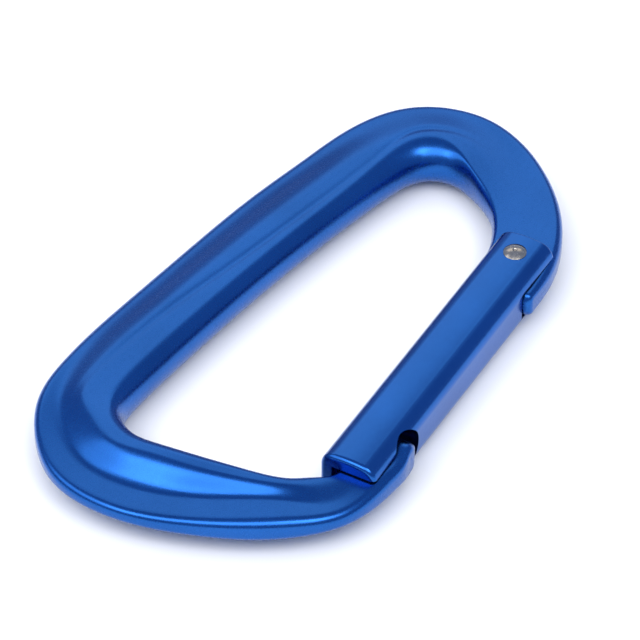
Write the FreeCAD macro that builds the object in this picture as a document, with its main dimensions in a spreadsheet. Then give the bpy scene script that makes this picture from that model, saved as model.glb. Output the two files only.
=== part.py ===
import FreeCAD, Part
import math
import os

import Sketcher

Vector = FreeCAD.Vector
doc = FreeCAD.newDocument("snap_carabiner")

# Frame: X runs along the gate from nose to hinge, Y from the gate to the spine, Z is up.
# The carabiner lies flat on Z = 0, and its middle plane is at Z = mid_height.
DIMENSIONS = [
    ("mid_height", 3.9),
    ("pivot_x", 17.59),
    ("pivot_y", -16.27),
    ("gate_half_width", 3.5),
    ("gate_half_depth", 3.5),
    ("gate_corner_radius", 1.9),
    ("gate_crown_radius", 13.0),
    ("nose_end_round", 0.6),
    ("hinge_end_round", 0.25),
    ("gate_nose_reach", 39.9),
    ("gate_hinge_reach", 3.2),
    ("slot_half_width", 1.8),
    ("fork_depth", 4.7),
    ("nose_slot_reach", 32.7),
    ("keyhole_radius", 3.0),
    ("slot_base_wall", 1.5),
    ("rivet_radius", 1.1),
    ("rivet_clearance", 0.05),
    ("rivet_head_radius", 1.35),
    ("rivet_head_rise", 0.4),
    ("rivet_seat_depth", 0.12),
    ("rivet_dome_radius", 2.3),
    ("rivet_dimple_radius", 0.35),
    ("rivet_dimple_depth", 0.2),
    ("bore_radius", 1.45),
    ("bore_end_reach", 19.0),
    ("plunger_radius", 1.35),
    ("plunger_tip_radius", 0.8),
    ("plunger_tip_length", 1.4),
    ("plunger_collar_length", 2.4),
    ("plunger_stem_radius", 0.65),
    ("plunger_stem_length", 4.0),
    ("spring_coil_radius", 1.0),
    ("spring_wire_radius", 0.2),
    ("spring_turns", 9.0),
    ("cam_radius", 3.4),
    ("cam_gap", 0.03),
    ("plunger_travel", 0.9),
    ("gate_swing", 28.0),
    ("relief_gap", 0.25),
    ("heel_tip_back", 4.75),
    ("heel_nose_back", 3.95),
    ("heel_wall_start", 3.5),
    ("heel_wall_end", 3.2),
    ("cutter_back", 9.0),
    ("cutter_side", 6.4),
]

# One row for each station along the frame, from the nose head round the spine to the heel:
# outer x, y; inner x, y; half depth of the flange; half depth of the crest; shares of the width
# where the rise from flange to crest starts and ends; radius of the outer edge; width of the
# inner round.
STATIONS = [
    (-14.06, -20.32, -14.06, -18.52, 1.10, 1.10, 0.40, 0.80, 0.50, 0.60),
    (-14.81, -20.67, -14.81, -18.12, 1.80, 1.80, 0.40, 0.80, 0.80, 0.90),
    (-15.91, -20.82, -15.91, -17.72, 2.05, 2.05, 0.40, 0.80, 0.80, 0.90),
    (-16.81, -20.97, -16.81, -17.37, 1.85, 1.85, 0.40, 0.80, 0.80, 0.80),
    (-17.71, -21.07, -17.71, -16.87, 1.70, 1.70, 0.40, 0.80, 0.90, 0.60),
    (-19.91, -20.94, -19.91, -15.47, 1.65, 1.65, 0.40, 0.80, 1.10, 0.50),
    (-23.07, -20.51, -22.51, -14.77, 1.50, 1.55, 0.40, 0.80, 1.05, 0.70),
    (-27.33, -19.10, -24.04, -12.75, 1.22, 1.60, 0.30, 0.80, 1.00, 1.20),
    (-31.53, -15.17, -25.78, -10.23, 1.45, 2.15, 0.45, 0.74, 1.10, 1.60),
    (-35.15, -9.33, -27.06, -5.59, 1.45, 2.70, 0.46, 0.70, 1.05, 1.70),
    (-37.98, -2.21, -27.76, -1.05, 1.15, 3.15, 0.39, 0.69, 0.90, 2.10),
    (-39.20, 4.97, -28.34, 3.62, 1.00, 3.25, 0.35, 0.71, 0.80, 2.20),
    (-38.06, 11.69, -28.27, 7.06, 1.05, 3.10, 0.32, 0.68, 0.80, 2.20),
    (-34.39, 16.59, -26.80, 9.73, 1.25, 3.00, 0.25, 0.72, 0.80, 2.10),
    (-28.88, 20.07, -24.39, 10.79, 1.50, 2.85, 0.30, 0.66, 0.90, 2.10),
    (-21.90, 21.05, -20.24, 10.71, 2.00, 2.75, 0.05, 0.40, 1.20, 2.20),
    (-10.30, 20.18, -10.73, 9.71, 1.70, 2.65, 0.10, 0.50, 1.40, 2.00),
    (1.73, 18.63, 0.25, 8.24, 1.55, 2.60, 0.10, 0.52, 1.30, 1.90),
    (13.77, 16.71, 11.21, 6.32, 1.55, 2.60, 0.10, 0.54, 1.30, 1.90),
    (23.30, 14.36, 19.99, 4.42, 1.80, 2.75, 0.10, 0.55, 1.30, 2.10),
    (29.93, 12.02, 25.35, 3.04, 2.40, 3.00, 0.10, 0.60, 1.30, 2.60),
    (34.92, 8.58, 28.36, 1.49, 2.80, 3.20, 0.10, 0.68, 1.30, 3.00),
    (37.91, 4.06, 29.41, -0.98, 2.75, 3.10, 0.10, 0.60, 1.20, 3.00),
    (39.20, -1.22, 29.06, -3.65, 2.25, 2.55, 0.15, 0.65, 1.20, 1.20),
    (37.86, -6.61, 27.29, -6.47, 1.80, 2.00, 0.25, 0.75, 1.15, 0.90),
    (34.78, -11.21, 25.09, -9.07, 1.65, 1.70, 0.40, 0.85, 1.10, 0.80),
    (30.12, -15.69, 22.29, -10.87, 1.62, 1.62, 0.40, 0.80, 1.10, 0.90),
    (24.69, -18.87, 19.29, -11.97, 1.62, 1.62, 0.40, 0.80, 1.10, 0.70),
    (18.29, -20.59, 16.29, -12.57, 1.62, 1.62, 0.40, 0.80, 1.00, 0.60),
    (14.09, -20.69, 14.09, -12.87, 1.62, 1.62, 0.40, 0.80, 0.80, 0.60),
    (13.45, -20.57, 13.45, -12.87, 1.45, 1.45, 0.40, 0.80, 0.80, 0.60),
    (13.05, -20.22, 13.05, -13.07, 0.90, 0.90, 0.40, 0.80, 0.60, 0.60),
]

EDGE_STEPS = 2
FACE_STEPS = 13
SKIN_STRETCHES = 8


def make_sheet():
    sheet = doc.addObject("Spreadsheet::Sheet", "Dimensions")
    for row, (alias, value) in enumerate(DIMENSIONS, start=1):
        sheet.set(f"A{row}", alias)
        sheet.set(f"B{row}", str(value))
        sheet.setAlias(f"B{row}", alias)
    doc.recompute()
    return sheet


SHEET = make_sheet()


def size(alias):
    return float(getattr(SHEET, alias))


def section(width, flange, crest, rise_from, rise_to, edge, inner_round):
    """Distances in from the outer edge, with half depths, across one upright section."""
    edge = min(edge, 0.95 * flange, 0.45 * width)
    inner_round = min(inner_round, 0.45 * width)
    places = [(0.0, 0.0)]
    for step in range(EDGE_STEPS + 1):
        turn = math.pi / 2 * step / EDGE_STEPS
        places.append((edge * (1.0 - math.cos(turn)), flange - edge + edge * math.sin(turn)))
    for step in range(1, FACE_STEPS + 1):
        across = edge + (width - edge) * math.sin(math.pi / 2 * step / FACE_STEPS)
        share = min(max((across / width - rise_from) / (rise_to - rise_from), 0.0), 1.0)
        depth = flange + (crest - flange) * share * share * (3.0 - 2.0 * share)
        from_inner = max(0.0, 1.0 - (width - across) / inner_round)
        places.append((across, depth * math.sqrt(max(0.0, 1.0 - from_inner ** 2))))
    return places


def section_row(station, side):
    """Points of the upper (side 1) or lower (side -1) face across one upright section."""
    outer_x, outer_y, inner_x, inner_y, *profile = station
    outer = Vector(outer_x, outer_y, size("mid_height"))
    across = Vector(inner_x, inner_y, size("mid_height")) - outer
    width = across.Length
    places = section(width, *profile)
    return [outer + across * (place / width) + Vector(0, 0, side * depth) for place, depth in places]


def end_cap(faces, station):
    """Flat face that closes the skin at its first or last section."""
    ends = [Vector(station[0], station[1], size("mid_height")), Vector(station[2], station[3], size("mid_height"))]

    def is_end(edge):
        corners = [vertex.Point for vertex in edge.Vertexes]
        return all(min((corner - end).Length for corner in corners) < 0.001 for end in ends)

    edges = [edge for face in faces for edge in face.Edges if is_end(edge)]
    return Part.Face(Part.Wire(Part.__sortEdges__(edges)))


def frame_blank():
    """Forging before machining: an upper and a lower skin that meet at the edges, with two ends.

    Each skin is one smooth surface, divided into short stretches so that no single face goes
    round the whole opening.
    """
    stretches = []
    ends = []
    for side in (1, -1):
        skin = Part.BSplineSurface()
        skin.interpolate([section_row(station, side) for station in STATIONS])
        ends.append(skin.toShape())
        u_low, u_high, v_low, v_high = skin.bounds()
        step = (u_high - u_low) / SKIN_STRETCHES
        for index in range(SKIN_STRETCHES):
            start = u_low + index * step
            stretches.append(skin.toShape(start, start + step, v_low, v_high))
    caps = [end_cap(ends, STATIONS[0]), end_cap(ends, STATIONS[-1])]
    shell = Part.makeCompound(stretches + caps)
    shell.sewShape(0.001)
    solid = Part.makeSolid(shell.Shells[0])
    if solid.Volume < 0:
        solid.reverse()
    return solid


def prism(points_edges, low, high):
    face = Part.Face(Part.Wire(points_edges))
    face.translate(Vector(0, 0, low))
    return face.extrude(Vector(0, 0, high - low))


def cam_point(angle_deg):
    """Point of the tang's cam edge that the plunger touches with the gate open by this angle.

    The centre of the plunger's tip follows a spiral round the pivot whose radius grows evenly
    with the gate's angle. The cam edge is that spiral moved in by the tip's radius.
    """
    tip = size("plunger_tip_radius")
    growth = size("plunger_travel") / math.radians(size("gate_swing"))
    angle = math.radians(angle_deg)
    spiral = size("cam_radius") + tip + growth * angle
    out = Vector(-math.cos(angle), math.sin(angle), 0)
    along = Vector(math.sin(angle), math.cos(angle), 0)
    tangent = out * growth + along * spiral
    tangent.normalize()
    normal = Vector(-tangent.y, tangent.x, 0)
    pivot = Vector(size("pivot_x"), size("pivot_y"), 0)
    return pivot + out * spiral - normal * (tip + size("cam_gap"))


def relief_point():
    """Corner past the cam edge that still clears the bottom of the fork at full swing."""
    beyond = math.radians(36.0)
    distance = (size("fork_depth") - size("relief_gap")) / math.cos(beyond)
    angle = math.radians(size("gate_swing")) + beyond
    pivot = Vector(size("pivot_x"), size("pivot_y"), 0)
    return pivot + Vector(-math.cos(angle), math.sin(angle), 0) * distance


def cam_cutter():
    """Everything between the heel, the cam edge and the bottom of the gate's fork."""
    cam = Part.BSplineCurve()
    cam.interpolate([cam_point(angle) for angle in (-14, -3, 8, 19, 30)])
    pivot = Vector(size("pivot_x"), size("pivot_y"), 0)
    relief = relief_point()
    far_x = pivot.x - size("cutter_back")
    far_y = pivot.y + size("cutter_side")
    corners = [
        cam_point(30),
        relief,
        Vector(relief.x, far_y, 0),
        Vector(far_x, far_y, 0),
        Vector(far_x, pivot.y - size("heel_wall_start"), 0),
        pivot - Vector(size("heel_tip_back"), size("heel_wall_start"), 0),
        pivot - Vector(size("heel_nose_back"), size("heel_wall_end"), 0),
        cam_point(-14),
    ]
    sides = [Part.makeLine(start, end) for start, end in zip(corners, corners[1:])]
    return prism([cam.toShape()] + sides, -1.0, 2 * size("mid_height") + 1.0)


def make_frame():
    hole = Part.makeCylinder(
        size("rivet_radius") + size("rivet_clearance"), 20.0,
        Vector(size("pivot_x"), size("pivot_y"), -5.0))
    shape = frame_blank().cut([cam_cutter(), hole])
    frame = doc.addObject("Part::Feature", "Frame")
    frame.Label = "frame"
    frame.Shape = shape
    frame.Placement = FreeCAD.Placement()
    return frame


def plane_of(body, role):
    return next(item for item in body.Origin.OriginFeatures if item.Role == role)


def new_sketch(body, name, role, offset=None):
    """Sketch on one of the body's own origin planes, moved along the plane's normal."""
    sketch = body.newObject("Sketcher::SketchObject", name)
    sketch.AttachmentSupport = (plane_of(body, role), "")
    sketch.MapMode = "FlatFace"
    if offset:
        sketch.setExpression("AttachmentOffset.Base.z", offset)
    return sketch


def constrain(sketch, name, formula, *arguments):
    """Add a named size to a sketch and bind it to the sheet."""
    index = sketch.addConstraint(Sketcher.Constraint(*arguments))
    sketch.renameConstraint(index, name)
    sketch.setExpression(f"Constraints.{name}", formula)


def circle_sketch(body, name, role, radius_formula, centre_formula=None, offset=None):
    sketch = new_sketch(body, name, role, offset)
    centre_x = -15.0 if centre_formula else 0.0
    sketch.addGeometry(Part.Circle(Vector(centre_x, 0, 0), Vector(0, 0, 1), 1.0), False)
    sketch.addConstraint(Sketcher.Constraint("PointOnObject", 0, 3, -1))
    if centre_formula:
        constrain(sketch, "centre_back", centre_formula, "DistanceX", 0, 3, -1, 1, 15.0)
    else:
        sketch.addConstraint(Sketcher.Constraint("PointOnObject", 0, 3, -2))
    constrain(sketch, "radius", radius_formula, "Radius", 0, 1.0)
    return sketch


def slot_sketch(body, name, low_formula, high_formula, guess, offset):
    """Rectangle on the XZ plane from low to high along X, centred on the X axis."""
    sketch = new_sketch(body, name, "XZ_Plane", offset)
    low, high = guess
    half = 1.8
    corners = [Vector(low, -half, 0), Vector(high, -half, 0), Vector(high, half, 0), Vector(low, half, 0)]
    for index in range(4):
        sketch.addGeometry(Part.LineSegment(corners[index], corners[(index + 1) % 4]), False)
    for index in range(4):
        sketch.addConstraint(Sketcher.Constraint("Coincident", index, 2, (index + 1) % 4, 1))
    for index in (0, 2):
        sketch.addConstraint(Sketcher.Constraint("Horizontal", index))
    sketch.addConstraint(Sketcher.Constraint("Vertical", 3))
    sketch.addConstraint(Sketcher.Constraint("Symmetric", 0, 2, 1, 2, -1))
    constrain(sketch, "low", low_formula, "DistanceX", -1, 1, 0, 1, low)
    constrain(sketch, "high", high_formula, "DistanceX", -1, 1, 0, 2, high)
    constrain(sketch, "height", "2 * Dimensions.slot_half_width", "DistanceY", 1, 1, 1, 2, 2 * half)
    return sketch


def cut_pocket(body, name, sketch, length_formula):
    """Cut a sketch into the body and make sure that it removes material."""
    doc.recompute()
    before = body.Shape.Volume
    pocket = body.newObject("PartDesign::Pocket", name)
    pocket.Profile = sketch
    pocket.setExpression("Length", length_formula)
    doc.recompute()
    if body.Shape.Volume >= before:
        pocket.Reversed = True
        doc.recompute()
    if body.Shape.Volume >= before:
        raise RuntimeError(f"{name} cuts nothing")
    return pocket


def gate_section(body):
    """Rounded bar section with a slightly crowned top and bottom."""
    sketch = new_sketch(body, "GateSection", "YZ_Plane", "-Dimensions.gate_nose_reach")
    wide, tall, crown = 3.5, 3.5, 20.0
    corners = [Vector(wide, -tall, 0), Vector(wide, tall, 0), Vector(-wide, tall, 0), Vector(-wide, -tall, 0)]
    top = Part.Arc(corners[1], Vector(0, tall + 0.2, 0), corners[2])
    bottom = Part.Arc(corners[3], Vector(0, -tall - 0.2, 0), corners[0])
    sketch.addGeometry(Part.LineSegment(corners[0], corners[1]), False)
    sketch.addGeometry(top, False)
    sketch.addGeometry(Part.LineSegment(corners[2], corners[3]), False)
    sketch.addGeometry(bottom, False)
    for index in range(4):
        sketch.addConstraint(Sketcher.Constraint("Coincident", index, 2, (index + 1) % 4, 1))
    for index in (0, 2):
        sketch.addConstraint(Sketcher.Constraint("Vertical", index))
    for index in (1, 3):
        sketch.addConstraint(Sketcher.Constraint("PointOnObject", index, 3, -2))
    constrain(sketch, "half_width", "Dimensions.gate_half_width", "DistanceX", -1, 1, 0, 1, wide)
    constrain(sketch, "other_half_width", "Dimensions.gate_half_width", "DistanceX", 2, 1, -1, 1, wide)
    constrain(sketch, "top_radius", "Dimensions.gate_crown_radius", "Radius", 1, crown)
    constrain(sketch, "bottom_radius", "Dimensions.gate_crown_radius", "Radius", 3, crown)
    centre_depth = "Dimensions.gate_crown_radius - Dimensions.gate_half_depth"
    constrain(sketch, "top_centre", centre_depth, "DistanceY", 1, 3, -1, 1, crown - tall)
    constrain(sketch, "bottom_centre", centre_depth, "DistanceY", -1, 1, 3, 3, crown - tall)
    return sketch


def edges_where(shape, keep):
    return [f"Edge{index}" for index, edge in enumerate(shape.Edges, start=1) if keep(edge)]


def dress(body, kind, name, keep, formula):
    """Fillet or chamfer the edges of the body's last solid that keep() picks."""
    doc.recompute()
    base = body.Tip
    names = edges_where(base.Shape, keep)
    if not names:
        raise RuntimeError(f"{name} finds no edge")
    feature = body.newObject(kind, name)
    feature.Base = (base, names)
    feature.setExpression("Radius" if kind.endswith("Fillet") else "Size", formula)
    doc.recompute()
    return feature


def at_x(edge, place):
    return all(abs(vertex.X - place) < 0.01 for vertex in edge.Vertexes)


def make_gate():
    body = doc.addObject("PartDesign::Body", "Gate")
    body.Label = "gate"
    pad = body.newObject("PartDesign::Pad", "GateBar")
    pad.Profile = gate_section(body)
    pad.setExpression("Length", "Dimensions.gate_nose_reach + Dimensions.gate_hinge_reach")
    nose_end = -size("gate_nose_reach")
    hinge_end = size("gate_hinge_reach")

    def is_long(edge):
        return edge.Length > 0.9 * (hinge_end - nose_end)

    dress(body, "PartDesign::Fillet", "BarCorners", is_long, "Dimensions.gate_corner_radius")
    dress(
        body, "PartDesign::Fillet", "NoseEndRound", lambda edge: at_x(edge, nose_end),
        "Dimensions.nose_end_round")
    dress(
        body, "PartDesign::Fillet", "HingeEndRound", lambda edge: at_x(edge, hinge_end),
        "Dimensions.hinge_end_round")
    outside = "Dimensions.gate_half_width + 1"
    fork = slot_sketch(
        body, "ForkSlot", "-Dimensions.fork_depth", "Dimensions.gate_hinge_reach + 1", (-4.7, 4.2), outside)
    cut_pocket(body, "Fork", fork, "2 * Dimensions.gate_half_width + 2")
    keyhole_slot = slot_sketch(
        body, "NoseSlotOutline", "-Dimensions.gate_nose_reach - 1", "-Dimensions.nose_slot_reach",
        (-40.9, -32.0), outside)
    slot_depth = "2 * Dimensions.gate_half_width + 1 - Dimensions.slot_base_wall"
    cut_pocket(body, "NoseSlot", keyhole_slot, slot_depth)
    keyhole = circle_sketch(
        body, "KeyholeOutline", "XZ_Plane", "Dimensions.keyhole_radius", "Dimensions.nose_slot_reach", outside)
    cut_pocket(body, "Keyhole", keyhole, slot_depth)
    bore = circle_sketch(body, "BoreOutline", "YZ_Plane", "Dimensions.bore_radius", None, "-Dimensions.fork_depth")
    cut_pocket(body, "SpringBore", bore, "Dimensions.bore_end_reach - Dimensions.fork_depth")
    pivot = circle_sketch(
        body, "PivotOutline", "XY_Plane", "Dimensions.rivet_radius", None, "Dimensions.gate_half_depth + 1")
    cut_pocket(body, "PivotHole", pivot, "2 * Dimensions.gate_half_depth + 2")
    for name, side in (("Upper", "1"), ("Lower", "-1")):
        seat = circle_sketch(
            body, f"{name}SeatOutline", "XY_Plane", "Dimensions.rivet_head_radius + Dimensions.rivet_clearance",
            None, f"{side} * (Dimensions.gate_half_depth - Dimensions.rivet_seat_depth)")
        pocket = body.newObject("PartDesign::Pocket", f"{name}RivetSeat")
        pocket.Profile = seat
        pocket.Length = 1.0
        pocket.Reversed = side == "1"
        doc.recompute()
    body.setExpression("Placement.Base.x", "Dimensions.pivot_x")
    body.setExpression("Placement.Base.y", "Dimensions.pivot_y")
    body.setExpression("Placement.Base.z", "Dimensions.mid_height")
    return body


def primitive(kind, name, **formulas):
    """Part primitive with its sizes bound to the sheet; a double underscore stands for a dot."""
    item = doc.addObject(kind, name)
    for prop, formula in formulas.items():
        item.setExpression(prop.replace("__", "."), formula)
    return item


def boolean(kind, name, base, tool):
    item = doc.addObject(kind, name)
    item.Base = base
    item.Tool = tool
    return item


def fuse(name, shapes):
    item = doc.addObject("Part::MultiFuse", name)
    item.Shapes = shapes
    return item


def place_at_pivot(item):
    item.setExpression("Placement.Base.x", "Dimensions.pivot_x")
    item.setExpression("Placement.Base.y", "Dimensions.pivot_y")
    item.setExpression("Placement.Base.z", "Dimensions.mid_height")
    return item


def rivet_head(name, side):
    """Low domed head on one ear of the fork, with a punched dimple in its middle."""
    rise = "Dimensions.rivet_head_rise + Dimensions.rivet_seat_depth"
    dome = primitive(
        "Part::Sphere", f"{name}Dome", Radius="Dimensions.rivet_dome_radius",
        Placement__Base__z=f"{side} * (Dimensions.gate_half_depth + Dimensions.rivet_head_rise"
                           " - Dimensions.rivet_dome_radius)")
    bottom = "Dimensions.gate_half_depth - Dimensions.rivet_seat_depth"
    start = bottom if side == "1" else f"-({bottom}) - ({rise})"
    barrel = primitive(
        "Part::Cylinder", f"{name}Barrel", Radius="Dimensions.rivet_head_radius", Height=rise,
        Placement__Base__z=start)
    head = boolean("Part::Common", f"{name}Head", barrel, dome)
    dimple = primitive(
        "Part::Sphere", f"{name}Dimple", Radius="Dimensions.rivet_dimple_radius",
        Placement__Base__z=f"{side} * (Dimensions.gate_half_depth + Dimensions.rivet_head_rise"
                           " + Dimensions.rivet_dimple_radius - Dimensions.rivet_dimple_depth)")
    return boolean("Part::Cut", f"{name}DimpledHead", head, dimple)


def make_rivet():
    shank = primitive(
        "Part::Cylinder", "RivetShank", Radius="Dimensions.rivet_radius",
        Height="2 * (Dimensions.gate_half_depth - Dimensions.rivet_seat_depth)",
        Placement__Base__z="-(Dimensions.gate_half_depth - Dimensions.rivet_seat_depth)")
    rivet = fuse("Rivet", [shank, rivet_head("Upper", "1"), rivet_head("Lower", "-1")])
    rivet.Label = "hinge_rivet"
    return place_at_pivot(rivet)


def rod(name, radius, start, length):
    """Round rod along -X that starts this far back from the pivot."""
    item = primitive(
        "Part::Cylinder", name, Radius=radius, Height=length, Placement__Base__x=f"-({start})")
    item.Placement.Rotation = FreeCAD.Rotation(Vector(0, 1, 0), -90)
    return item


def make_plunger():
    tip_centre = "Dimensions.cam_radius + Dimensions.plunger_tip_radius"
    collar_start = f"{tip_centre} + Dimensions.plunger_tip_length"
    ball = primitive(
        "Part::Sphere", "PlungerTip", Radius="Dimensions.plunger_tip_radius",
        Placement__Base__x=f"-({tip_centre})")
    neck = rod("PlungerNeck", "Dimensions.plunger_tip_radius", tip_centre, "Dimensions.plunger_tip_length")
    collar = rod("PlungerCollar", "Dimensions.plunger_radius", collar_start, "Dimensions.plunger_collar_length")
    stem = rod(
        "PlungerStem", "Dimensions.plunger_stem_radius", collar_start,
        "Dimensions.plunger_collar_length + Dimensions.plunger_stem_length")
    plunger = fuse("Plunger", [ball, neck, collar, stem])
    plunger.Label = "spring_plunger"
    return place_at_pivot(plunger)


def make_spring():
    """Compression coil between the plunger's collar and the blind end of the bore."""
    start = (
        "Dimensions.cam_radius + Dimensions.plunger_tip_radius + Dimensions.plunger_tip_length"
        " + Dimensions.plunger_collar_length + Dimensions.spring_wire_radius + 0.02")
    height = f"Dimensions.bore_end_reach - Dimensions.spring_wire_radius - 0.02 - ({start})"
    helix = primitive(
        "Part::Helix", "SpringPath", Radius="Dimensions.spring_coil_radius", Height=height,
        Pitch=f"({height}) / Dimensions.spring_turns")
    wire = primitive(
        "Part::Circle", "SpringWire", Radius="Dimensions.spring_wire_radius",
        Placement__Base__x="Dimensions.spring_coil_radius")
    wire.Placement.Rotation = FreeCAD.Rotation(Vector(1, 0, 0), 90)
    doc.recompute()
    spring = doc.addObject("Part::Sweep", "Spring")
    spring.Sections = [wire]
    spring.Spine = (helix, ["Edge1"])
    spring.Solid = True
    spring.Frenet = True
    spring.Label = "return_spring"
    spring.Placement.Rotation = FreeCAD.Rotation(Vector(0, 1, 0), -90)
    spring.setExpression("Placement.Base.x", f"Dimensions.pivot_x - ({start})")
    spring.setExpression("Placement.Base.y", "Dimensions.pivot_y")
    spring.setExpression("Placement.Base.z", "Dimensions.mid_height")
    return spring


def check(parts):
    for item in doc.Objects:
        if "Invalid" in item.State or "Error" in item.State:
            raise RuntimeError(f"{item.Label} failed: {item.State}")
    for item in parts:
        shape = item.Shape
        if shape.isNull() or not shape.isValid() or len(shape.Solids) != 1:
            raise RuntimeError(f"{item.Label}: {len(shape.Solids)} solids, valid {shape.isValid()}")


def main():
    parts = [make_frame(), make_gate(), make_rivet(), make_plunger(), make_spring()]
    doc.recompute()
    check(parts)
    os.makedirs("parts", exist_ok=True)
    for item in parts:
        item.Shape.exportStep(f"parts/{item.Label}.step")
        box = item.Shape.BoundBox
        print(f"{item.Label}: {item.Shape.Volume:.1f} mm3, X {box.XMin:.2f} to {box.XMax:.2f},"
              f" Y {box.YMin:.2f} to {box.YMax:.2f}, Z {box.ZMin:.2f} to {box.ZMax:.2f}")


main()
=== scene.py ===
import math

import bmesh
import bpy
import numpy as np
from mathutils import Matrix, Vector


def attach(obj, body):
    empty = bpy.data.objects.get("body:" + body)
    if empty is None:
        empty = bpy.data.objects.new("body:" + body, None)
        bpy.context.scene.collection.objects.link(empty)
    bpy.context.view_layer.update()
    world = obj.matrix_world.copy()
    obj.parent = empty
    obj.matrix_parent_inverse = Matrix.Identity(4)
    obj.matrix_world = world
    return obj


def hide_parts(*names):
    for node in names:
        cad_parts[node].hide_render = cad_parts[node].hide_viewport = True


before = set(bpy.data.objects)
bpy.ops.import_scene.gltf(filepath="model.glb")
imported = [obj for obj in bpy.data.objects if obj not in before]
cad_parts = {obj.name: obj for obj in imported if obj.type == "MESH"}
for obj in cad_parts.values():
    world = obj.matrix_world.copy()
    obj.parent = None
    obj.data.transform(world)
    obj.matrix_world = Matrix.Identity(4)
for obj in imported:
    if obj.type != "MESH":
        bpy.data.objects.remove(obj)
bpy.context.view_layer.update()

MM = 0.001
MID_HEIGHT = 3.9

# The camera looks at this point of the carabiner's middle plane.
CAMERA_TARGET = (-0.31, -0.47)
CAMERA_AZIMUTH = -60.66
CAMERA_ELEVATION = 42.5
CAMERA_DISTANCE = 539.0
CAMERA_LENS = 263.8

# One row for each station along the frame, from the nose head round the spine to the heel:
# outer x, y; inner x, y; half depth of the flange; half depth of the crest; shares of the width
# where the rise from flange to crest starts and ends; radius of the outer edge; width of the
# inner round; depth of the crease and its share of the width.
# The section sizes were chosen one by one. The plan points of most rows, and the camera's place
# and lens above, were worked out by a separate fitting script, as report.md says.
STATIONS = [
    (-14.06, -20.32, -14.06, -18.52, 1.10, 1.10, 0.40, 0.80, 0.50, 0.60, 0.00, 0.50),
    (-14.81, -20.67, -14.81, -18.12, 1.80, 1.80, 0.40, 0.80, 0.80, 0.90, 0.00, 0.50),
    (-15.91, -20.82, -15.91, -17.72, 2.05, 2.05, 0.40, 0.80, 0.80, 0.90, 0.00, 0.50),
    (-16.81, -20.97, -16.81, -17.37, 1.85, 1.85, 0.40, 0.80, 0.80, 0.80, 0.00, 0.50),
    (-17.71, -21.07, -17.71, -16.87, 1.70, 1.70, 0.40, 0.80, 0.90, 0.60, 0.00, 0.50),
    (-19.91, -20.94, -19.91, -15.47, 1.65, 1.65, 0.40, 0.80, 1.10, 0.50, 0.00, 0.50),
    (-23.07, -20.51, -22.51, -14.77, 1.50, 1.55, 0.40, 0.80, 1.05, 0.70, 0.00, 0.50),
    (-27.33, -19.10, -24.04, -12.75, 1.22, 1.60, 0.30, 0.80, 1.00, 1.20, 0.00, 0.50),
    (-31.53, -15.17, -25.78, -10.23, 1.45, 2.15, 0.45, 0.74, 1.10, 1.60, 0.00, 0.50),
    (-35.15, -9.33, -27.06, -5.59, 1.45, 2.70, 0.46, 0.70, 1.05, 1.70, 0.00, 0.45),
    (-37.98, -2.21, -27.76, -1.05, 1.15, 3.15, 0.39, 0.69, 0.90, 2.10, 0.00, 0.42),
    (-39.20, 4.97, -28.34, 3.62, 1.00, 3.25, 0.35, 0.71, 0.80, 2.20, 0.00, 0.40),
    (-38.06, 11.69, -28.27, 7.06, 1.05, 3.10, 0.32, 0.68, 0.80, 2.20, 0.00, 0.40),
    (-34.39, 16.59, -26.80, 9.73, 1.25, 3.00, 0.26, 0.70, 0.80, 2.10, 0.01, 0.42),
    (-28.88, 20.07, -24.39, 10.79, 1.60, 2.85, 0.20, 0.58, 0.95, 2.10, 0.03, 0.44),
    (-21.90, 21.02, -20.24, 10.71, 1.85, 2.75, 0.12, 0.50, 1.15, 2.10, 0.06, 0.49),
    (-10.30, 20.18, -10.73, 9.71, 1.70, 2.65, 0.10, 0.50, 1.30, 2.00, 0.09, 0.56),
    (1.73, 18.63, 0.25, 8.24, 1.55, 2.60, 0.10, 0.52, 1.30, 1.90, 0.10, 0.67),
    (13.77, 16.71, 11.21, 6.32, 1.55, 2.60, 0.10, 0.54, 1.30, 1.90, 0.09, 0.73),
    (23.30, 14.36, 19.99, 4.42, 1.80, 2.75, 0.10, 0.55, 1.30, 2.10, 0.06, 0.73),
    (29.93, 12.02, 25.35, 3.04, 2.40, 3.00, 0.10, 0.60, 1.30, 2.60, 0.06, 0.68),
    (34.92, 8.58, 28.36, 1.49, 2.80, 3.20, 0.10, 0.68, 1.30, 3.00, 0.10, 0.57),
    (37.91, 4.06, 29.41, -0.98, 2.75, 3.10, 0.10, 0.60, 1.20, 3.00, 0.08, 0.53),
    (39.20, -1.22, 29.06, -3.65, 2.25, 2.55, 0.15, 0.65, 1.20, 1.20, 0.02, 0.50),
    (37.86, -6.61, 27.29, -6.47, 1.80, 2.00, 0.25, 0.75, 1.15, 0.90, 0.00, 0.50),
    (34.78, -11.21, 25.09, -9.07, 1.65, 1.70, 0.40, 0.85, 1.10, 0.80, 0.00, 0.50),
    (30.12, -15.69, 22.29, -10.87, 1.62, 1.62, 0.40, 0.80, 1.10, 0.90, 0.00, 0.50),
    (24.69, -18.87, 19.29, -11.97, 1.62, 1.62, 0.40, 0.80, 1.10, 0.70, 0.00, 0.50),
    (18.29, -20.59, 16.29, -12.57, 1.62, 1.62, 0.40, 0.80, 1.00, 0.60, 0.00, 0.50),
    (14.09, -20.69, 14.09, -12.87, 1.62, 1.62, 0.40, 0.80, 0.80, 0.60, 0.00, 0.50),
    (13.45, -20.57, 13.45, -12.87, 1.45, 1.45, 0.40, 0.80, 0.80, 0.60, 0.00, 0.50),
    (13.05, -20.22, 13.05, -13.07, 0.90, 0.90, 0.40, 0.80, 0.60, 0.60, 0.00, 0.50),
]
RINGS_PER_STATION = 14
EDGE_STEPS = 8
FACE_STEPS = 38
CREASE_HALF_WIDTH = 0.38

# Faces that meet at more than this angle keep a sharp edge.
SHARP_ANGLE = 50.0

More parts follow.
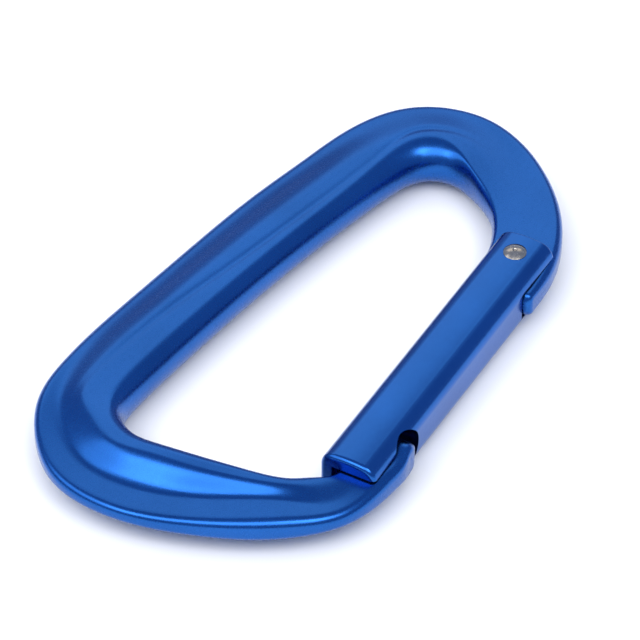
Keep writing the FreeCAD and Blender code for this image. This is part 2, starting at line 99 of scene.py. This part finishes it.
# The cam edge on the tang, round the gate's pivot. Angles are in degrees of gate opening.
PIVOT = (17.59, -16.27)
CAM_RADIUS = 3.4
CAM_GAP = 0.03
TIP_RADIUS = 0.8
GATE_SWING = 28.0
PLUNGER_TRAVEL = 0.9
CAM_GROWTH = PLUNGER_TRAVEL / math.radians(GATE_SWING)
CAM_START = -14
CAM_END = 30
CAM_STEP = 4
FORK_DEPTH = 4.7
RELIEF_GAP = 0.25
RELIEF_TURN = 36.0
RELIEF_REACH = (FORK_DEPTH - RELIEF_GAP) / math.cos(math.radians(RELIEF_TURN))

# The rest of the cut between the heel, the cam edge and the gate, measured from the pivot.
HEEL_TIP_BACK = 4.75
HEEL_NOSE_BACK = 3.95
HEEL_WALL_START = 3.5
HEEL_WALL_END = 3.2
CUTTER_BACK = 9.0
CUTTER_SIDE = 6.4
CUTTER_BOTTOM = -5.0
CUTTER_TOP = 15.0

FLOOR_HALF_WIDTH = 3000.0

# Dye colours and mean roughness of the two anodised pieces, and how strong the clear coat is.
FORGING_COLOUR = (0.0165, 0.108, 0.39)
FORGING_ROUGHNESS = 0.27
FORGING_COAT = 0.05
BAR_COLOUR = (0.0165, 0.110, 0.40)
BAR_ROUGHNESS = 0.23
BAR_COAT = 0.08

WHITE = (1.0, 1.0, 1.0)
BACKDROP_COLOUR = (1.0, 0.93, 0.78)
FILL_COLOUR = (1.0, 0.95, 0.84)
SKY_COLOUR = (0.28, 0.36, 0.56, 1.0)


def spline(values, knots, places):
    """Natural cubic spline through rows of values at the knots, read at the places."""
    count = len(knots)
    gap = np.diff(knots)
    system = np.eye(count)
    right = np.zeros_like(values)
    for row in range(1, count - 1):
        system[row, row - 1] = gap[row - 1]
        system[row, row] = 2.0 * (gap[row - 1] + gap[row])
        system[row, row + 1] = gap[row]
        rise = (values[row + 1] - values[row]) / gap[row]
        right[row] = 6.0 * (rise - (values[row] - values[row - 1]) / gap[row - 1])
    bend = np.linalg.solve(system, right)
    left = np.clip(np.searchsorted(knots, places, side="right") - 1, 0, count - 2)
    width = gap[left][:, None]
    near = ((knots[left + 1] - places)[:, None]) / width
    far = 1.0 - near
    curve = (near ** 3 - near) * bend[left] + (far ** 3 - far) * bend[left + 1]
    return near * values[left] + far * values[left + 1] + curve * width ** 2 / 6.0


def section(width, flange, crest, rise_from, rise_to, edge, inner_round, crease, crease_share):
    """Distances in from the outer edge, and half depths, across one upright section."""
    edge = min(edge, 0.95 * flange, 0.45 * width)
    inner_round = min(inner_round, 0.45 * width)
    turn = np.linspace(0.0, math.pi / 2, EDGE_STEPS + 1)
    spread = np.sin(np.linspace(0.0, math.pi / 2, FACE_STEPS + 1))[1:]
    across = edge + (width - edge) * spread
    share = np.clip((across / width - rise_from) / (rise_to - rise_from), 0.0, 1.0)
    depth = flange + (crest - flange) * share * share * (3.0 - 2.0 * share)
    depth = depth - crease * np.exp(-((across - crease_share * width) / CREASE_HALF_WIDTH) ** 2)
    from_inner = np.clip(1.0 - (width - across) / inner_round, 0.0, 1.0)
    depth = depth * np.sqrt(1.0 - from_inner ** 2)
    distances = np.concatenate([[0.0], edge * (1.0 - np.cos(turn)), across])
    depths = np.concatenate([[0.0], flange - edge + edge * np.sin(turn), depth])
    return distances, depths


def frame_rings():
    """Closed rings of points round the frame's section, all along the frame."""
    rows = np.array(STATIONS)
    middle = (rows[:, 0:2] + rows[:, 2:4]) / 2.0
    knots = np.concatenate([[0.0], np.cumsum(np.linalg.norm(np.diff(middle, axis=0), axis=1))])
    stretches = [
        np.linspace(start, end, RINGS_PER_STATION, endpoint=False)
        for start, end in zip(knots, knots[1:])
    ]
    places = np.concatenate(stretches + [knots[-1:]])
    rings = []
    for outer_x, outer_y, inner_x, inner_y, *profile in spline(rows, knots, places):
        outer = np.array([outer_x, outer_y])
        across = np.array([inner_x, inner_y]) - outer
        width = np.linalg.norm(across)
        distances, depths = section(width, *profile)
        plan = outer + distances[:, None] * across / width
        upper = np.column_stack([plan, MID_HEIGHT + depths])
        lower = np.column_stack([plan, MID_HEIGHT - depths])[-2:0:-1]
        rings.append(np.concatenate([upper, lower]))
    return rings


def mesh_object(name, points, faces):
    """Object in the scene from points in millimetres."""
    mesh = bpy.data.meshes.new(name)
    mesh.from_pydata([tuple(float(c) * MM for c in point) for point in points], [], faces)
    mesh.validate()
    piece = bpy.data.objects.new(name, mesh)
    bpy.context.scene.collection.objects.link(piece)
    return piece


def skin_rings(name, rings):
    """Tube of quads through closed rings, with its two ends closed."""
    count = len(rings[0])
    points = np.concatenate(rings)
    faces = []
    for ring in range(len(rings) - 1):
        base = ring * count
        for step in range(count):
            after = (step + 1) % count
            faces.append((base + step, base + after, base + count + after, base + count + step))
    last = (len(rings) - 1) * count
    faces.append(tuple(range(count))[::-1])
    faces.append(tuple(last + step for step in range(count)))
    piece = mesh_object(name, points, faces)
    fix_normals(piece)
    return piece


def fix_normals(piece):
    """Turn all the faces of a closed mesh outwards."""
    tidy = bmesh.new()
    tidy.from_mesh(piece.data)
    bmesh.ops.recalc_face_normals(tidy, faces=tidy.faces)
    tidy.to_mesh(piece.data)
    tidy.free()


def shade_smooth(piece, sharp_angle):
    piece.data.shade_smooth()
    piece.data.set_sharp_from_angle(angle=math.radians(sharp_angle))


def anodised(name, colour, roughness, coat):
    """Blue anodised aluminium: dyed metal under a clear oxide, with a fine matt grain."""
    material = bpy.data.materials.new(name)
    material.use_nodes = True
    nodes = material.node_tree.nodes
    links = material.node_tree.links
    shader = nodes["Principled BSDF"]
    shader.inputs["Metallic"].default_value = 1.0
    shader.inputs["Coat Weight"].default_value = coat
    shader.inputs["Coat Roughness"].default_value = 0.25
    place = nodes.new("ShaderNodeTexCoord")
    tint = nodes.new("ShaderNodeTexNoise")
    tint.inputs["Scale"].default_value = 120.0
    tint.inputs["Detail"].default_value = 3.0
    links.new(place.outputs["Object"], tint.inputs["Vector"])
    ramp = nodes.new("ShaderNodeValToRGB")
    ramp.color_ramp.elements[0].position = 0.3
    ramp.color_ramp.elements[0].color = (*[c * 0.93 for c in colour], 1.0)
    ramp.color_ramp.elements[1].position = 0.7
    ramp.color_ramp.elements[1].color = (*[min(1.0, c * 1.05) for c in colour], 1.0)
    links.new(tint.outputs["Fac"], ramp.inputs["Fac"])
    links.new(ramp.outputs["Color"], shader.inputs["Base Color"])
    grain = nodes.new("ShaderNodeTexNoise")
    grain.inputs["Scale"].default_value = 1800.0
    grain.inputs["Detail"].default_value = 4.0
    links.new(place.outputs["Object"], grain.inputs["Vector"])
    spread = nodes.new("ShaderNodeMapRange")
    spread.inputs["To Min"].default_value = roughness - 0.05
    spread.inputs["To Max"].default_value = roughness + 0.05
    links.new(grain.outputs["Fac"], spread.inputs["Value"])
    links.new(spread.outputs["Result"], shader.inputs["Roughness"])
    bump = nodes.new("ShaderNodeBump")
    bump.inputs["Strength"].default_value = 0.15
    bump.inputs["Distance"].default_value = 0.00002
    links.new(grain.outputs["Fac"], bump.inputs["Height"])
    links.new(bump.outputs["Normal"], shader.inputs["Normal"])
    return material


def steel(name, colour, roughness):
    """Bare steel with a fine mottled grain."""
    material = bpy.data.materials.new(name)
    material.use_nodes = True
    nodes = material.node_tree.nodes
    links = material.node_tree.links
    shader = nodes["Principled BSDF"]
    shader.inputs["Metallic"].default_value = 1.0
    place = nodes.new("ShaderNodeTexCoord")
    grain = nodes.new("ShaderNodeTexNoise")
    grain.inputs["Scale"].default_value = 2500.0
    grain.inputs["Detail"].default_value = 5.0
    links.new(place.outputs["Object"], grain.inputs["Vector"])
    ramp = nodes.new("ShaderNodeValToRGB")
    ramp.color_ramp.elements[0].position = 0.3
    ramp.color_ramp.elements[0].color = (*[c * 0.8 for c in colour], 1.0)
    ramp.color_ramp.elements[1].position = 0.7
    ramp.color_ramp.elements[1].color = (*colour, 1.0)
    links.new(grain.outputs["Fac"], ramp.inputs["Fac"])
    links.new(ramp.outputs["Color"], shader.inputs["Base Color"])
    spread = nodes.new("ShaderNodeMapRange")
    spread.inputs["To Min"].default_value = roughness - 0.06
    spread.inputs["To Max"].default_value = roughness + 0.08
    links.new(grain.outputs["Fac"], spread.inputs["Value"])
    links.new(spread.outputs["Result"], shader.inputs["Roughness"])
    return material


def dress_node(node, material):
    """Give one CAD node its material."""
    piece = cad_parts[node]
    for slot in piece.material_slots:
        slot.material = material


def cam_point(angle_deg):
    """Point of the tang's cam edge, a spiral round the pivot that the plunger's tip follows."""
    angle = math.radians(angle_deg)
    spiral = CAM_RADIUS + TIP_RADIUS + CAM_GROWTH * angle
    out = np.array([-math.cos(angle), math.sin(angle)])
    along = np.array([math.sin(angle), math.cos(angle)])
    tangent = out * CAM_GROWTH + along * spiral
    tangent = tangent / np.linalg.norm(tangent)
    normal = np.array([-tangent[1], tangent[0]])
    return np.array(PIVOT) + out * spiral - normal * (TIP_RADIUS + CAM_GAP)


def upright_prism(name, outline):
    """Closed prism over a plan outline, taller than the whole object."""
    count = len(outline)
    points = [(x, y, z) for z in (CUTTER_BOTTOM, CUTTER_TOP) for x, y in outline]
    faces = []
    for step in range(count):
        after = (step + 1) % count
        faces.append((step, after, count + after, count + step))
    faces += [tuple(range(count))[::-1], tuple(range(count, 2 * count))]
    piece = mesh_object(name, points, faces)
    fix_normals(piece)
    return piece


def cut_away(piece, cutter):
    """Take the cutter's volume out of the piece's mesh for good."""
    cut = piece.modifiers.new("cut", "BOOLEAN")
    cut.operation = "DIFFERENCE"
    cut.solver = "EXACT"
    cut.object = cutter
    shape = piece.evaluated_get(bpy.context.evaluated_depsgraph_get())
    mesh = bpy.data.meshes.new_from_object(shape)
    piece.modifiers.clear()
    piece.data = mesh
    bpy.data.objects.remove(cutter)


def cam_outline():
    """Plan of everything between the heel, the cam edge and the bottom of the gate's fork."""
    pivot = np.array(PIVOT)
    swing = math.radians(GATE_SWING + RELIEF_TURN)
    relief = pivot + np.array([-math.cos(swing), math.sin(swing)]) * RELIEF_REACH
    cam = [cam_point(angle) for angle in range(CAM_START, CAM_END + 1, CAM_STEP)]
    far_x, far_y = pivot + (-CUTTER_BACK, CUTTER_SIDE)
    heel = [
        (far_x, pivot[1] - HEEL_WALL_START),
        pivot - (HEEL_TIP_BACK, HEEL_WALL_START),
        pivot - (HEEL_NOSE_BACK, HEEL_WALL_END),
    ]
    return cam + [relief, (relief[0], far_y), (far_x, far_y)] + heel


def make_frame(material):
    """Forged frame with its crease and its machined cam edge, in place of the CAD one."""
    piece = skin_rings("forged_frame", frame_rings())
    cut_away(piece, upright_prism("cam_cutter", cam_outline()))
    shade_smooth(piece, SHARP_ANGLE)
    piece.data.materials.append(material)
    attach(piece, "frame")
    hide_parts("frame")
    return piece


def look_from(target, azimuth, elevation, distance):
    """Place at a distance from a target, seen looking along this azimuth and down this elevation."""
    turn = math.radians(azimuth)
    rise = math.radians(elevation)
    ahead = Vector((-math.sin(turn) * math.cos(rise), math.cos(turn) * math.cos(rise), -math.sin(rise)))
    return Vector(target) - ahead * distance


def aim(item, target):
    item.rotation_euler = (Vector(target) - item.location).to_track_quat("-Z", "Y").to_euler()


def make_camera():
    camera = bpy.data.objects.new("camera", bpy.data.cameras.new("camera"))
    bpy.context.scene.collection.objects.link(camera)
    target = (CAMERA_TARGET[0] * MM, CAMERA_TARGET[1] * MM, MID_HEIGHT * MM)
    camera.location = look_from(target, CAMERA_AZIMUTH, CAMERA_ELEVATION, CAMERA_DISTANCE * MM)
    aim(camera, target)
    camera.data.lens = CAMERA_LENS
    camera.data.sensor_width = 36.0
    camera.data.clip_start = 0.01
    bpy.context.scene.camera = camera


def softbox(name, azimuth, elevation, distance, width, height, power, colour=WHITE):
    """Rectangular area light that faces the object, its azimuth measured from the camera's own."""
    data = bpy.data.lights.new(name, "AREA")
    data.shape = "RECTANGLE"
    data.size = width
    data.size_y = height
    data.energy = power
    data.color = colour
    light = bpy.data.objects.new(name, data)
    bpy.context.scene.collection.objects.link(light)
    centre = (0.0, 0.0, MID_HEIGHT * MM)
    light.location = look_from(centre, CAMERA_AZIMUTH + azimuth, elevation, distance)
    aim(light, centre)
    return light


def make_floor():
    side = FLOOR_HALF_WIDTH
    corners = [(-side, -side, 0), (side, -side, 0), (side, side, 0), (-side, side, 0)]
    floor = mesh_object("floor", corners, [(0, 1, 2, 3)])
    material = bpy.data.materials.new("pale_floor")
    material.use_nodes = True
    shader = material.node_tree.nodes["Principled BSDF"]
    shader.inputs["Base Color"].default_value = (0.9, 0.9, 0.9, 1.0)
    shader.inputs["Roughness"].default_value = 0.7
    floor.data.materials.append(material)


def make_lights():
    world = bpy.data.worlds.new("studio")
    bpy.context.scene.world = world
    bpy.context.scene.view_settings.view_transform = "Standard"
    world.use_nodes = True
    sky = world.node_tree.nodes["Background"]
    sky.inputs["Color"].default_value = SKY_COLOUR
    sky.inputs["Strength"].default_value = 1.0
    softbox("backdrop_light", 180.0, 39.0, 1.0, 1.0, 0.42, 1.4, BACKDROP_COLOUR)
    softbox("key_light", -10.0, 56.0, 1.0, 1.25, 0.6, 6.2)
    softbox("left_light", -76.0, 45.0, 1.0, 1.0, 0.6, 2.7)
    softbox("right_light", 42.0, 55.0, 1.0, 0.4, 0.5, 1.7)
    fill = softbox("floor_fill", 0.0, 89.0, 1.5, 3.0, 3.0, 22.0, FILL_COLOUR)
    fill.visible_glossy = False


make_camera()
make_floor()
make_lights()
forged = anodised("anodised_forging_look", FORGING_COLOUR, FORGING_ROUGHNESS, FORGING_COAT)
drawn = anodised("anodised_bar_look", BAR_COLOUR, BAR_ROUGHNESS, BAR_COAT)
make_frame(forged)
dress_node("gate", drawn)
dress_node("hinge_rivet", steel("stainless_look", (0.50, 0.44, 0.37), 0.24))
dress_node("spring_plunger", steel("plunger_look", (0.6, 0.6, 0.6), 0.35))
dress_node("return_spring", steel("spring_look", (0.5, 0.5, 0.5), 0.3))
